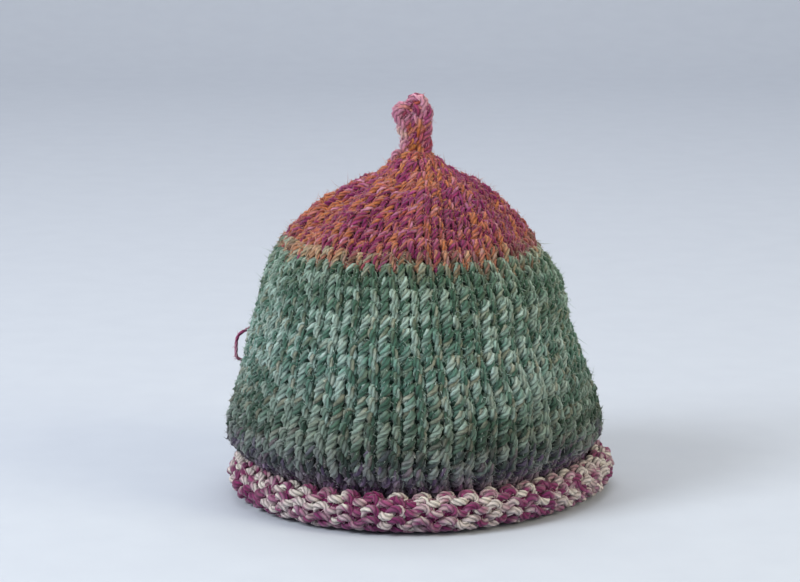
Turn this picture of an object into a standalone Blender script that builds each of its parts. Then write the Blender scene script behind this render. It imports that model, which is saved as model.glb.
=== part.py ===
"""A hand-knitted tea cosy of thick wool, standing on its rolled hem, with a slit for the handle and one
for the spout, and a knitted loop on top. Metres, +Z up. The spout slit faces +X and the handle slit -X.

The fabric is one sheet. Its section is a line that starts at the cast-on edge, curls round inside the
rolled hem, runs up the wall and closes at the crown. The knit side of that line is outside on the wall
and inside the roll, as in real stocking stitch, so the purl side shows on the hem.
"""

import math
from collections import namedtuple

import bmesh
import bpy

MM = 0.001

# Driving sizes
COLUMNS = 48  # stitches in one round
WALES_BETWEEN_PLEATS = 6
FIRST_PLEAT_COLUMN = 1  # the crown stands highest along this column and every sixth one after it
FABRIC = 7.8 * MM  # thickness of the knitted sheet
RIB_RELIEF = 1.5 * MM  # how far a column of stitches stands above the groove beside it
PLEAT_RELIEF = 2.4 * MM  # how far the crown's gathers stand above the hollows between them

# The rolled hem, as a ring in plan and a curl in section
ROLL_RING_RADIUS = 83.9 * MM
ROLL_DEPTH = 0.985  # front to back, as a share of the width
CURL_RADIUS = 6.5 * MM  # to the middle of the fabric
CURL_FOOT_DEG = 15.0  # the roll rests flat this far either side of its lowest point
CURL_DEG = (92, 62, 32, 2, -26, -51, -75, -105, -129, -154, -180)
CURL_OUTER = CURL_RADIUS + FABRIC / 2
CURL_HEIGHT = CURL_OUTER * math.cos(math.radians(CURL_FOOT_DEG))

# The wall and crown, from the hem up, at the middle of the fabric. Radius, height and sway are in
# millimetres, sway being the shift of that level towards the spout. Depth is front to back, as a share of
# the width. Rib and pleat are shares of the reliefs.
Section = namedtuple("Section", "radius height sway depth rib pleat")
WALL = (
    Section(77.2, 17.0, -0.6, 0.985, 0.0, 0.0),
    Section(81.4, 23.4, -2.0, 0.965, 0.3, 0.0),
    Section(87.2, 29.0, -3.4, 0.955, 0.8, 0.0),
    Section(88.4, 36.5, -3.6, 0.955, 1.0, 0.0),
    Section(87.0, 45.0, -3.4, 0.95, 1.0, 0.0),
    Section(85.0, 54.0, -3.3, 0.95, 1.0, 0.0),
    Section(82.2, 64.5, -3.8, 0.95, 1.0, 0.0),
    Section(79.2, 75.0, -4.7, 0.95, 1.0, 0.0),
    Section(76.0, 85.0, -5.5, 0.95, 1.0, 0.0),
    Section(73.7, 94.5, -5.1, 0.935, 1.0, 0.0),
    Section(71.0, 104.5, -5.0, 0.92, 1.0, 0.0),
    Section(67.0, 113.0, -6.1, 0.925, 1.0, 0.0),
    Section(63.0, 119.4, -7.2, 0.945, 0.8, 0.3),
    Section(58.0, 125.8, -7.2, 0.95, 0.5, 0.7),
    Section(51.0, 133.0, -6.6, 0.95, 0.3, 1.0),
    Section(41.6, 141.6, -5.6, 0.95, 0.0, 1.0),
    Section(29.6, 149.6, -3.2, 0.95, 0.0, 0.9),
    Section(18.6, 155.4, -1.6, 0.95, 0.0, 0.6),
    Section(12.6, 160.4, -2.6, 0.95, 0.0, 0.2),
    Section(9.0, 165.1, -2.8, 0.9, 0.0, 0.0),
)
CROWN_FROM = 13  # the wall's section where the crown's colours start
CROWN_TOP = WALL[-1].height * MM + FABRIC / 2  # flat spot on which the loop is sewn

# How unevenly the cosy hangs: each wave swells the plan by a share of its radius, so many times a turn
Wave = namedtuple("Wave", "share times phase_deg")
HEM_WAVES = (Wave(0.047, 2, 75.0), Wave(0.028, 3, 90.0))
WALL_WAVES = (Wave(0.012, 3, 40.0), Wave(0.008, 2, -120.0))
HEM_WAVES_TO = 20.0 * MM
WALL_WAVES_FROM = 62.0 * MM

# Slits, as column lines where two columns of stitches aren't joined. Sections count from the wall's first.
Slit = namedtuple("Slit", "name column first_section last_section half_width")
SLITS = (
    Slit("spout", 0, 3, 10, 12.5 * MM),
    Slit("handle", COLUMNS // 2, 2, 11, 7.5 * MM),
)
SLIT_PULL = 62.0 * MM  # how far along the round the fabric is crowded by an open slit
SLIT_ROUNDNESS = 0.62  # below 1 the slit is a long oval, at 1 a plain sine

# The loop: a knitted cord folded over, both ends on the crown. Across is towards the spout.
CORD_SIDES = 16
CORD_RIBS = 4
CORD_RIB_RELIEF = 0.35 * MM
LOOP_STEPS = 36
CordPoint = namedtuple("CordPoint", "across height forward radius")
LOOP = (
    CordPoint(4.45, 169.3, 0.0, 3.9),
    CordPoint(4.4, 175.0, 0.0, 3.9),
    CordPoint(4.5, 181.0, 0.2, 4.1),
    CordPoint(4.4, 187.6, 0.4, 4.6),
    CordPoint(1.6, 192.8, 0.3, 4.6),
    CordPoint(-3.2, 191.6, -0.3, 4.4),
    CordPoint(-6.2, 187.4, -0.4, 4.2),
    CordPoint(-5.6, 182.0, -0.3, 4.1),
    CordPoint(-4.3, 176.0, 0.0, 3.7),
    CordPoint(-3.9, 169.3, 0.0, 3.6),
)

# Colours, as linear red, green and blue
HEM_COLOUR = (0.40, 0.19, 0.24)
BODY_COLOUR = (0.16, 0.25, 0.20)
CROWN_COLOUR = (0.42, 0.13, 0.13)
WOOL_ROUGHNESS = 0.9


def clear_scene():
    for item in list(bpy.data.objects):
        bpy.data.objects.remove(item)


def wool(name, colour):
    material = bpy.data.materials.new(name)
    material.use_nodes = True
    shader = material.node_tree.nodes["Principled BSDF"]
    shader.inputs["Base Color"].default_value = (*colour, 1.0)
    shader.inputs["Roughness"].default_value = WOOL_ROUGHNESS
    shader.inputs["Metallic"].default_value = 0.0
    material.diffuse_color = (*colour, 1.0)
    return material


def section_line():
    """The sections from the cast-on edge to the last round of the crown, in metres."""
    line = []
    for degrees in CURL_DEG:
        angle = math.radians(degrees)
        radius = ROLL_RING_RADIUS + CURL_RADIUS * math.cos(angle)
        height = CURL_HEIGHT + CURL_RADIUS * math.sin(angle)
        line.append(Section(radius, height, 0.0, ROLL_DEPTH, 0.0, 0.0))
    for at in WALL:
        in_metres = (at.radius * MM, at.height * MM, at.sway * MM)
        line.append(Section(*in_metres, at.depth, at.rib, at.pleat))
    return line


def knit_side_normals(line):
    """Unit normals of the section line in its own plane, as (radial, vertical), towards the knit side."""
    normals = []
    for i, at in enumerate(line):
        if i < len(CURL_DEG):
            angle = math.radians(CURL_DEG[i])
            normals.append((-math.cos(angle), -math.sin(angle)))
            continue
        if i == len(line) - 1:
            normals.append((0.0, 1.0))
            continue
        before = line[i - 1]
        after = line[i + 1]
        along_radius = after.radius - before.radius
        along_height = after.height - before.height
        length = math.hypot(along_radius, along_height)
        normals.append((along_height / length, -along_radius / length))
    return normals


def slit_half_width(slit, line, ring):
    """Half the slit's width at a ring of the section line: nothing at its two ends."""
    first = len(CURL_DEG) + slit.first_section
    last = len(CURL_DEG) + slit.last_section
    if not first < ring < last:
        return 0.0
    share = (line[ring].height - line[first].height) / (line[last].height - line[first].height)
    return slit.half_width * math.sin(math.pi * share) ** SLIT_ROUNDNESS


def pulled_angle(angle, side, line, ring):
    """The angle at which a column line lies once the slits near it are open.

    side is -1 or 1 for the lip of a slit that the fabric belongs to, and matters only on the slit's own line.
    """
    for slit in SLITS:
        width = slit_half_width(slit, line, ring)
        if width == 0.0:
            continue
        away = math.remainder(angle - math.tau * slit.column / COLUMNS, math.tau)
        way = side if abs(away) < 1e-6 else math.copysign(1.0, away)
        radius = line[ring].radius
        near = max(0.0, 1.0 - abs(away) * radius / SLIT_PULL)
        angle += way * width / radius * near**2
    return angle


def unevenness(angle, height):
    """The share by which the fabric swells or dips at a place: the hem's waves fade into the wall's."""
    share = (height - HEM_WAVES_TO) / (WALL_WAVES_FROM - HEM_WAVES_TO)
    share = min(1.0, max(0.0, share))
    hem = sum(w.share * math.cos(w.times * angle - math.radians(w.phase_deg)) for w in HEM_WAVES)
    wall = sum(w.share * math.cos(w.times * angle - math.radians(w.phase_deg)) for w in WALL_WAVES)
    return hem * (1.0 - share) + wall * share


def relief(at, half_column, angle):
    """How far the knit side stands out for the columns of stitches and for the crown's gathers."""
    ridge = 0.5 if half_column % 2 else -0.5
    pleats = COLUMNS // WALES_BETWEEN_PLEATS
    first_pleat = math.tau * FIRST_PLEAT_COLUMN / COLUMNS
    gather = 0.5 * math.cos(pleats * (angle - first_pleat))
    return RIB_RELIEF * at.rib * ridge + PLEAT_RELIEF * at.pleat * gather


def place(line, normals, ring, half_column, side, out):
    """A point of the sheet. out is 1 on the knit side and -1 on the purl side."""
    at = line[ring]
    angle = math.tau * half_column / (2 * COLUMNS)
    offset = out * FABRIC / 2
    if out > 0:
        offset += relief(at, half_column, angle)
    radius = at.radius * (1.0 + unevenness(angle, at.height)) + normals[ring][0] * offset
    height = at.height + normals[ring][1] * offset
    turned = pulled_angle(angle, side, line, ring)
    return (
        at.sway + radius * math.cos(turned),
        at.depth * radius * math.sin(turned),
        height,
    )


def is_open(line, ring, half_column):
    """True where a slit parts the two columns that meet at this line."""
    return any(
        half_column % (2 * COLUMNS) == 2 * slit.column and slit_half_width(slit, line, ring) > 0
        for slit in SLITS
    )


class Sheet:
    """The knitted sheet as a mesh: rings of points on its knit side and purl side, split at the slits."""

    def __init__(self):
        self.line = section_line()
        self.normals = knit_side_normals(self.line)
        self.mesh = bmesh.new()
        self.points = {}

    def point(self, ring, half_column, side, out):
        half_column %= 2 * COLUMNS
        if not is_open(self.line, ring, half_column):
            side = 0
        key = (ring, half_column, side, out)
        if key not in self.points:
            where = place(self.line, self.normals, ring, half_column, side, out)
            self.points[key] = self.mesh.verts.new(where)
        return self.points[key]

    def face(self, corners, material=0):
        made = self.mesh.faces.new(corners)
        made.material_index = material
        made.smooth = True

    def band(self, ring, material):
        """The faces between a ring and the next one, on both sides of the sheet."""
        for start in range(0, 2 * COLUMNS, 2):
            for left in (start, start + 1):
                self.face(
                    (
                        self.point(ring, left, 1, 1),
                        self.point(ring, left + 1, -1, 1),
                        self.point(ring + 1, left + 1, -1, 1),
                        self.point(ring + 1, left, 1, 1),
                    ),
                    material,
                )
            self.face(
                (
                    self.point(ring, start, 1, -1),
                    self.point(ring + 1, start, 1, -1),
                    self.point(ring + 1, start + 2, -1, -1),
                    self.point(ring, start + 2, -1, -1),
                ),
                material,
            )

    def cast_on_edge(self):
        """The edge of the sheet, inside the rolled hem."""
        for start in range(0, 2 * COLUMNS, 2):
            self.face(
                (
                    self.point(0, start, 1, 1),
                    self.point(0, start, 1, -1),
                    self.point(0, start + 2, -1, -1),
                    self.point(0, start + 2, -1, 1),
                    self.point(0, start + 1, 1, 1),
                )
            )

    def lips(self, slit, material):
        """The two cut edges of a slit, through the thickness of the sheet."""
        first = len(CURL_DEG) + slit.first_section
        last = len(CURL_DEG) + slit.last_section
        line = 2 * slit.column
        for ring in range(first, last):
            for side in (1, -1):
                corners = [
                    self.point(ring, line, side, 1),
                    self.point(ring + 1, line, side, 1),
                    self.point(ring + 1, line, side, -1),
                    self.point(ring, line, side, -1),
                ]
                self.face(corners if side > 0 else corners[::-1], material)

    def close_crown(self, material):
        last = len(self.line) - 1
        sway = self.line[last].sway
        for out, height in ((1, CROWN_TOP), (-1, CROWN_TOP - FABRIC)):
            pole = self.mesh.verts.new((sway, 0.0, height))
            step = 1 if out > 0 else 2
            for start in range(0, 2 * COLUMNS, step):
                corners = [
                    self.point(last, start, 1, out),
                    self.point(last, start + step, -1, out),
                    pole,
                ]
                self.face(corners if out > 0 else corners[::-1], material)


def make_cosy():
    hem, body, crown = range(3)
    sheet = Sheet()
    sheet.cast_on_edge()
    for ring in range(len(sheet.line) - 1):
        if ring < len(CURL_DEG) + 1:
            material = hem
        elif ring < len(CURL_DEG) + CROWN_FROM:
            material = body
        else:
            material = crown
        sheet.band(ring, material)
    for slit in SLITS:
        sheet.lips(slit, body)
    sheet.close_crown(crown)
    data = bpy.data.meshes.new("cosy")
    sheet.mesh.to_mesh(data)
    sheet.mesh.free()
    data.materials.append(wool("magenta and cream wool", HEM_COLOUR))
    data.materials.append(wool("green wool", BODY_COLOUR))
    data.materials.append(wool("magenta and orange wool", CROWN_COLOUR))
    cosy = bpy.data.objects.new("cosy", data)
    bpy.context.scene.collection.objects.link(cosy)
    return cosy


def smooth_through(points, share):
    """A Catmull-Rom curve through the points, read at a share of its spans from 0 to 1."""
    spans = len(points) - 1
    span = min(int(share * spans), spans - 1)
    t = share * spans - span
    p0 = points[max(span - 1, 0)]
    p1 = points[span]
    p2 = points[span + 1]
    p3 = points[min(span + 2, spans)]
    return tuple(
        0.5 * (2 * b + (c - a) * t + (2 * a - 5 * b + 4 * c - d) * t**2 + (3 * b - 3 * c + d - a) * t**3)
        for a, b, c, d in zip(p0, p1, p2, p3)
    )


def make_loop(sway):
    """The folded cord, swept in the plane of the handle and spout, with flat ends on the crown."""
    mesh = bmesh.new()
    line = [smooth_through(LOOP, i / LOOP_STEPS) for i in range(LOOP_STEPS + 1)]
    rings = []
    for i, (across, height, forward, thickness) in enumerate(line):
        before = line[max(i - 1, 0)]
        after = line[min(i + 1, LOOP_STEPS)]
        is_end = i in (0, LOOP_STEPS)
        run = 0.0 if is_end else after[0] - before[0]
        rise = math.copysign(1.0, 0.5 - i / LOOP_STEPS) if is_end else after[1] - before[1]
        length = math.hypot(run, rise)
        side_across, side_up = rise / length, -run / length
        ring = []
        for k in range(CORD_SIDES):
            turn = math.tau * k / CORD_SIDES
            radius = thickness * MM + CORD_RIB_RELIEF * math.cos(CORD_RIBS * turn)
            sideways = radius * math.cos(turn)
            ring.append(
                mesh.verts.new(
                    (
                        sway + across * MM + sideways * side_across,
                        -forward * MM + radius * math.sin(turn),
                        height * MM + sideways * side_up,
                    )
                )
            )
        rings.append(ring)
    for ring, following in zip(rings, rings[1:]):
        for k in range(CORD_SIDES):
            around = (k + 1) % CORD_SIDES
            mesh.faces.new((ring[k], ring[around], following[around], following[k])).smooth = True
    mesh.faces.new(rings[0][::-1])
    mesh.faces.new(rings[-1])
    data = bpy.data.meshes.new("top_loop")
    mesh.to_mesh(data)
    mesh.free()
    data.materials.append(wool("loop wool", CROWN_COLOUR))
    loop = bpy.data.objects.new("top_loop", data)
    bpy.context.scene.collection.objects.link(loop)
    return loop


def stand_over_origin(objects):
    """Moves everything sideways so that the middle of the hem's outline is over the origin."""
    outline = [corner.co for item in objects for corner in item.data.vertices]
    middle_x = (min(p.x for p in outline) + max(p.x for p in outline)) / 2
    middle_y = (min(p.y for p in outline) + max(p.y for p in outline)) / 2
    for item in objects:
        for corner in item.data.vertices:
            corner.co.x -= middle_x
            corner.co.y -= middle_y
    print(f"moved by {-middle_x / MM:.2f} and {-middle_y / MM:.2f} mm to stand over the origin")


def main():
    clear_scene()
    cosy = make_cosy()
    loop = make_loop(WALL[-1].sway * MM)
    stand_over_origin((cosy, loop))


main()
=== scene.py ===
# %% [markdown]
# # A hand-knitted tea cosy
# The cosy is one tube of chunky, plied wool. It is cast on at the hem, worked round in stocking stitch with a
# slit for a handle and one for a spout, narrowed by decreases at the crown and finished with a knitted loop.
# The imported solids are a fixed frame: they give the size and the draped form. Everything here is laid on
# that form, in metres, so nothing has to be fitted.

# %% Load the frame and keep its box
import math

import bpy
import numpy as np
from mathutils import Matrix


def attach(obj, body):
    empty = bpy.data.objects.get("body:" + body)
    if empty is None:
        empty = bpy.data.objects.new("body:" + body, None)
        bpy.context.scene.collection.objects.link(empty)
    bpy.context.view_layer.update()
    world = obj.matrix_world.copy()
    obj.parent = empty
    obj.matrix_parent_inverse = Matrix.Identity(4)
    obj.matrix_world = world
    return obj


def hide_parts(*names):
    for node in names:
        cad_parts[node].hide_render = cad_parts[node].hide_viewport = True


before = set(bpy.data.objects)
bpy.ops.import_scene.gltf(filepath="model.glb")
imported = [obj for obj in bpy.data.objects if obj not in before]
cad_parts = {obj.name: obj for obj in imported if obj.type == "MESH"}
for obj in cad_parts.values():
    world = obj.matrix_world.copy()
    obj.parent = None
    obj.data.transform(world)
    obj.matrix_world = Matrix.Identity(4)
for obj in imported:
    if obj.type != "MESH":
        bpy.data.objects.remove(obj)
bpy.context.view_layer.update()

# %% [markdown]
# ## The draped form, as one line turned round
# A knitted tube is easiest to think of as a map. One direction counts stitches round the tube, the other
# measures the length of cloth from the cast-on edge to the crown. If a function turns (stitch, length) into a
# place in space, any yarn path can be drawn on the flat map and laid on the form. A shrinkwrap modifier could
# do the same for a finished mesh, but the map also says which way the cloth faces, which the loops need.
# First the sizes, the same as the frame's own.

# %% The cosy's sizes
MM = 0.001
WALES = 48
HALF_ROUND = WALES // 2
BACK = WALES / 4
FABRIC = 7.8
ROLL_RING, ROLL_DEPTH, CURL = 83.9, 0.985, 6.5
CURL_DEG = (92, 62, 32, 2, -26, -51, -75, -105, -129, -154, -180)
CURL_HEIGHT = (CURL + FABRIC / 2) * math.cos(math.radians(15))
WALL = np.array(
    [
        (77.2, 17.0, -0.6, 0.985),
        (81.4, 23.4, -2.0, 0.965),
        (87.2, 29.0, -3.4, 0.955),
        (88.4, 36.5, -3.6, 0.955),
        (87.0, 45.0, -3.4, 0.95),
        (85.0, 54.0, -3.3, 0.95),
        (82.2, 64.5, -3.8, 0.95),
        (79.2, 75.0, -4.7, 0.95),
        (76.0, 85.0, -5.5, 0.95),
        (73.7, 94.5, -5.1, 0.935),
        (71.0, 104.5, -5.0, 0.92),
        (67.0, 113.0, -6.1, 0.925),
        (63.0, 119.4, -7.2, 0.945),
        (58.0, 125.8, -7.2, 0.95),
        (51.0, 133.0, -6.6, 0.95),
        (41.6, 141.6, -5.6, 0.95),
        (29.6, 149.6, -3.2, 0.95),
        (18.6, 155.4, -1.6, 0.95),
        (12.6, 160.4, -2.6, 0.95),
        (8.6, 164.4, -2.8, 0.92),
        (4.2, 166.4, -2.8, 0.92),
        (1.2, 166.8, -2.8, 0.92),
    ]
)
HEM_WAVES = ((0.047, 2, 75.0), (0.028, 3, 90.0))
WALL_WAVES = ((0.012, 3, 40.0), (0.008, 2, -120.0))
HEM_WAVES_TO, WALL_WAVES_FROM = 20.0, 62.0
SPOUT_SLIT = dict(low=36.5, high=104.5, half=12.5)
HANDLE_SLIT = dict(low=29.0, high=113.0, half=7.5)
SLIT_PULL, SLIT_ROUNDNESS = 62.0, 0.62
SECTORS, DECREASE_COLUMN, GATHER = 8, 1.0, 2.0
CROWN_ROW = 13
OVER_ORIGIN = (0.01, 2.34)

# %% [markdown]
# The section line starts inside the rolled hem, curls round under it and climbs the wall. A smooth curve
# through the rows of the table gives radius, height, sway and depth at any length of cloth.

# %% The section line
curl = np.radians(CURL_DEG)
section = np.vstack(
    [
        np.stack(
            [
                ROLL_RING + CURL * np.cos(curl),
                CURL_HEIGHT + CURL * np.sin(curl),
                0 * curl,
                0 * curl + ROLL_DEPTH,
            ],
            1,
        ),
        WALL,
    ]
)
knots = np.concatenate([[0], np.cumsum(np.hypot(*np.diff(section[:, :2], axis=0).T))])
HEM_CLOTH = knots[len(CURL_DEG) - 1]
CROWN_CLOTH = knots[len(CURL_DEG) + CROWN_ROW]
CLOTH = knots[-1]


def smooth_curve(lengths, rows):
    """A function that gives the row at any length along a table, on a smooth curve through its rows."""
    slopes = np.gradient(rows, lengths, axis=0)

    def row_at(length):
        length = np.clip(length, 0, lengths[-1])
        i = np.clip(np.searchsorted(lengths, length, side="right") - 1, 0, len(lengths) - 2)
        step = lengths[i + 1] - lengths[i]
        t = ((length - lengths[i]) / step)[..., None]
        step = step[..., None]
        return (
            (2 * t**3 - 3 * t**2 + 1) * rows[i]
            + (t**3 - 2 * t**2 + t) * step * slopes[i]
            + (3 * t**2 - 2 * t**3) * rows[i + 1]
            + (t**3 - t**2) * step * slopes[i + 1]
        )

    return row_at


section_at = smooth_curve(knots, section)
print(f"cloth: hem {HEM_CLOTH:.1f} mm, wall to {CROWN_CLOTH:.1f} mm, crown to {CLOTH:.1f} mm")

# %% The map from (column, length of cloth) to space


def waves(table, angle):
    return sum(share * np.cos(times * angle - math.radians(phase)) for share, times, phase in table)


def slit_half_width(slit, height):
    share = np.clip((height - slit["low"]) / (slit["high"] - slit["low"]), 0, 1)
    return slit["half"] * np.sin(np.pi * share) ** SLIT_ROUNDNESS


def on_cloth(column, length, lips=()):
    """The middle of the fabric. lips lists the open slits beside this stretch of a round: the column at which
    its edge lies, which way the edge is pulled, and the slit."""
    angle = 2 * np.pi * column / WALES
    radius, height, sway, depth = np.moveaxis(section_at(length), -1, 0)
    share = np.clip((height - HEM_WAVES_TO) / (WALL_WAVES_FROM - HEM_WAVES_TO), 0, 1)
    swell = waves(HEM_WAVES, angle) * (1 - share) + waves(WALL_WAVES, angle) * share
    turned = angle
    for line, way, slit in lips:
        away = np.abs(column - line) * 2 * np.pi / WALES
        near = np.clip(1 - away * radius / SLIT_PULL, 0, 1)
        turned = turned + way * slit_half_width(slit, height) / radius * near**2
    radius = radius * (1 + swell)
    return np.stack(
        [
            sway + radius * np.cos(turned) + OVER_ORIGIN[0],
            depth * radius * np.sin(turned) + OVER_ORIGIN[1],
            height,
        ],
        -1,
    )


def gathers(column, length):
    """The crown stands up along its eight lines of decreases and sinks between them."""
    share = np.interp(length, (CROWN_CLOTH - 9, CROWN_CLOTH + 6, CROWN_CLOTH + 38, CLOTH - 12), (0, 1, 1, 0))
    return GATHER * share * np.cos(2 * np.pi * SECTORS * (column - DECREASE_COLUMN) / WALES)


def cloth_and_facing(column, length, lips=()):
    """Points of the fabric's middle and the way that its knit side faces there."""
    place = on_cloth(column, length, lips)
    nudge = 0.02
    low = np.clip(length - nudge * 10, 0, CLOTH)
    high = np.clip(length + nudge * 10, 0, CLOTH)
    across = on_cloth(column + nudge, length, lips) - on_cloth(column - nudge, length, lips)
    along = on_cloth(column, high, lips) - on_cloth(column, low, lips)
    facing = np.cross(across, along)
    facing /= np.linalg.norm(facing, axis=-1, keepdims=True) + 1e-12
    return place + facing * gathers(column, length)[..., None], facing


around = np.linspace(0, WALES, 200)
outermost = HEM_CLOTH * CURL_DEG[0] / (CURL_DEG[0] - CURL_DEG[-1])
hem_ring = on_cloth(around, np.full(len(around), outermost))
print("hem ring spans", np.round(np.ptp(hem_ring, axis=0), 1), "mm")

# %% [markdown]
# ## The yarn as a mesh
# The wool is four plies twisted together, so its cross-section has four lobes that turn along its length.
# A bevelled curve is the quick way to make yarn, but its section is round. Here each ring of the tube is
# turned a little further than the last, and the same point of the ring always lies on the same ply. The UV
# map then tells the material which ply it is on, whatever way the yarn bends.

# %% A tube of four twisted plies
PLIES = 4
SIDES = 2 * PLIES
PLY_HOLLOW, PLY_CREST = 0.16, 0.06
TWIST_PITCH = 12.0


def ply_tube(path, facing, thickness, closed, yarn_from=0.0, course=None, relief=1.0):
    """One run of yarn: its points in millimetres, quads, UVs and the course number of each point."""
    ply_rings = np.array([1 - PLY_HOLLOW * relief, 1 + PLY_CREST * relief] * PLIES)
    count = len(path)
    after = np.roll(path, -1, 0) if closed else np.vstack([path[1:], 2 * path[-1] - path[-2]])
    before = np.roll(path, 1, 0) if closed else np.vstack([2 * path[0] - path[1], path[:-1]])
    ahead = after - before
    ahead /= np.linalg.norm(ahead, axis=1, keepdims=True) + 1e-12
    up = facing - (facing * ahead).sum(1, keepdims=True) * ahead
    up /= np.linalg.norm(up, axis=1, keepdims=True) + 1e-12
    across = np.cross(ahead, up)
    steps = np.linalg.norm(after - path, axis=1)
    yarn = np.concatenate([[0], np.cumsum(steps)[:-1]])
    total = steps.sum() if closed else yarn[-1]
    turns = max(1, round(total / TWIST_PITCH)) if closed else total / TWIST_PITCH
    twist = 2 * np.pi * turns * yarn / total
    spoke = 2 * np.pi * np.arange(SIDES) / SIDES
    turn = twist[:, None] + spoke[None]
    reach = thickness[:, None] * ply_rings[None]
    ring = path[:, None] + reach[..., None] * (
        np.cos(turn)[..., None] * up[:, None] + np.sin(turn)[..., None] * across[:, None]
    )
    points = ring.reshape(-1, 3)
    rows = np.arange(count if closed else count - 1)
    i, k = np.meshgrid(rows, np.arange(SIDES), indexing="ij")
    j, m = (i + 1) % count, (k + 1) % SIDES
    quads = np.stack([i * SIDES + k, i * SIDES + m, j * SIDES + m, j * SIDES + k], -1).reshape(-1, 4)
    u0, u1 = k / SIDES, (k + 1) / SIDES
    v0 = yarn_from + yarn[i]
    v1 = v0 + steps[i]
    uvs = np.stack([u0, v0, u1, v0, u1, v1, u0, v1], -1).reshape(-1, 4, 2)
    if course is None:
        course = np.zeros(count)
    return points, quads, uvs, np.repeat(course, SIDES), total


# %% [markdown]
# Several runs make one piece. Blender takes arrays of points and faces quickly through foreach_set, which
# matters here because a million triangles are built each time that the script runs. The fibres at the end are
# made the same way, so one helper takes any arrays of faces.

# %% A piece from arrays


def wool_piece(name, points, faces, uvs, courses, finish):
    """One mesh object that rides on the cosy: points in millimetres, arrays of faces by their number of
    corners, a UV for each corner and a course for each point."""
    mesh = bpy.data.meshes.new(name)
    mesh.vertices.add(len(points))
    mesh.vertices.foreach_set("co", (points * MM).ravel())
    corners = np.concatenate([part.ravel() for part in faces])
    mesh.loops.add(len(corners))
    mesh.loops.foreach_set("vertex_index", corners)
    sizes = np.concatenate([np.full(len(part), part.shape[1]) for part in faces])
    mesh.polygons.add(len(sizes))
    mesh.polygons.foreach_set("loop_start", np.cumsum(sizes) - sizes)
    mesh.polygons.foreach_set("use_smooth", np.ones(len(sizes), bool))
    mesh.uv_layers.new(name="yarn").data.foreach_set("uv", uvs.ravel())
    attribute = mesh.attributes.new("course", "FLOAT", "POINT")
    attribute.data.foreach_set("value", courses.astype(np.float32))
    mesh.update(calc_edges=True)
    mesh.validate()
    mesh.materials.append(finish)
    piece = bpy.data.objects.new(name, mesh)
    bpy.context.scene.collection.objects.link(piece)
    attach(piece, "root")
    print(f"{name}: {(sizes - 2).sum()} triangles")
    return piece


# %% Joining runs of yarn into one piece


def knit_piece(name, runs, finish):
    """One mesh object from runs of yarn. Open runs get their two ends closed."""
    points, quads, uvs, courses, caps = [], [], [], [], []
    start = 0
    for run_points, run_quads, run_uvs, run_course, is_closed in runs:
        points.append(run_points)
        quads.append(run_quads + start)
        uvs.append(run_uvs)
        courses.append(run_course)
        if not is_closed:
            caps.append(np.arange(start, start + SIDES)[::-1])
            caps.append(np.arange(start + len(run_points) - SIDES, start + len(run_points)))
        start += len(run_points)
    caps = np.array(caps, dtype=np.int64).reshape(-1, SIDES)
    uvs.append(np.tile([[0.5, 0.0]], (caps.size, 1)))
    faces = [np.concatenate(quads), caps]
    uvs = np.concatenate([part.reshape(-1, 2) for part in uvs])
    return wool_piece(name, np.concatenate(points), faces, uvs, np.concatenate(courses), finish)


# %% [markdown]
# ## One stitch
# A stocking stitch is one wave of the yarn. It comes from behind, climbs to the front as a leg, passes
# behind again as the head and comes down as the other leg. Sines give that wave: once up and down, twice
# side to side and twice front to back. The climb to the front comes late, by LATE, so that each leg lies
# over the foot of the stitch above, like a shingle. That overlap makes the V shapes of knitting. SWING is how
# far a stitch sways to each side in its column, REACH how far it reaches into the rounds beside it.

# %% The wave of a stitch
HEM_SWING, SWING_LOW, SWING_HIGH = 0.13, 0.205, 0.235
REACH, HEM_REACH = 0.90, 0.76
LATE = 0.40
LOPSIDED = 0.03


def stitch_samples(many, bunch):
    """How the points are shared out along a stitch: bunch above 0 gives the legs more, below 0 the heads."""
    even = np.arange(many) / many * 2 * np.pi
    return even + bunch * np.sin(4 * even) / 4


LEG_SAMPLES = stitch_samples(24, 0.2)
HEAD_SAMPLES = stitch_samples(26, -0.3)


def stitch_depth(t):
    """-1 at the back of the fabric, 1 at its front."""
    folded = np.where(t > np.pi, 2 * np.pi - t, t)
    return -np.cos(2 * (folded - LATE * np.sin(folded) ** 2))


# %% [markdown]
# ## The rounds
# The hem has seven rounds curled into the roll, the wall has twenty rounds of 48 stitches, and the crown has
# ten, which lose eight stitches at every second round, and at each of the last two. Each round knows how many
# stitches it has, where it lies on the cloth and where the round above puts its stitches.

# %% The table of rounds
HEM_ROUNDS, WALL_ROUNDS = 7, 20
CROWN_FROM = HEM_ROUNDS + WALL_ROUNDS
CROWN_COUNTS = (48, 48, 40, 40, 32, 32, 24, 24, 16, 8)
CROWN_END = CLOTH - 2.5
CAST_ON_PITCH, LAST_PITCH = 4.4, 5.0


def spread_out(rounds, low, high):
    """The middles of so many rounds, spread evenly from one length of cloth to another."""
    return low + (np.arange(rounds) + 0.5) / rounds * (high - low)


places = np.concatenate(
    [
        spread_out(HEM_ROUNDS, 0.0, HEM_CLOTH),
        spread_out(WALL_ROUNDS, HEM_CLOTH, CROWN_CLOTH),
        spread_out(len(CROWN_COUNTS), CROWN_CLOTH, CROWN_END),
    ]
)
counts = [WALES] * CROWN_FROM + list(CROWN_COUNTS)
pitch_up = np.append(np.diff(places), LAST_PITCH)
pitch_down = np.insert(np.diff(places), 0, CAST_ON_PITCH)
print(f"{len(places)} rounds, {sum(counts)} stitches, wall pitch {pitch_up[HEM_ROUNDS]:.2f} mm")


def stitch_centres(count):
    """Column of each stitch's middle in a round of so many, the columns spread evenly between decreases."""
    return DECREASE_COLUMN + (np.arange(count) + 0.5) * WALES / count


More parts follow.
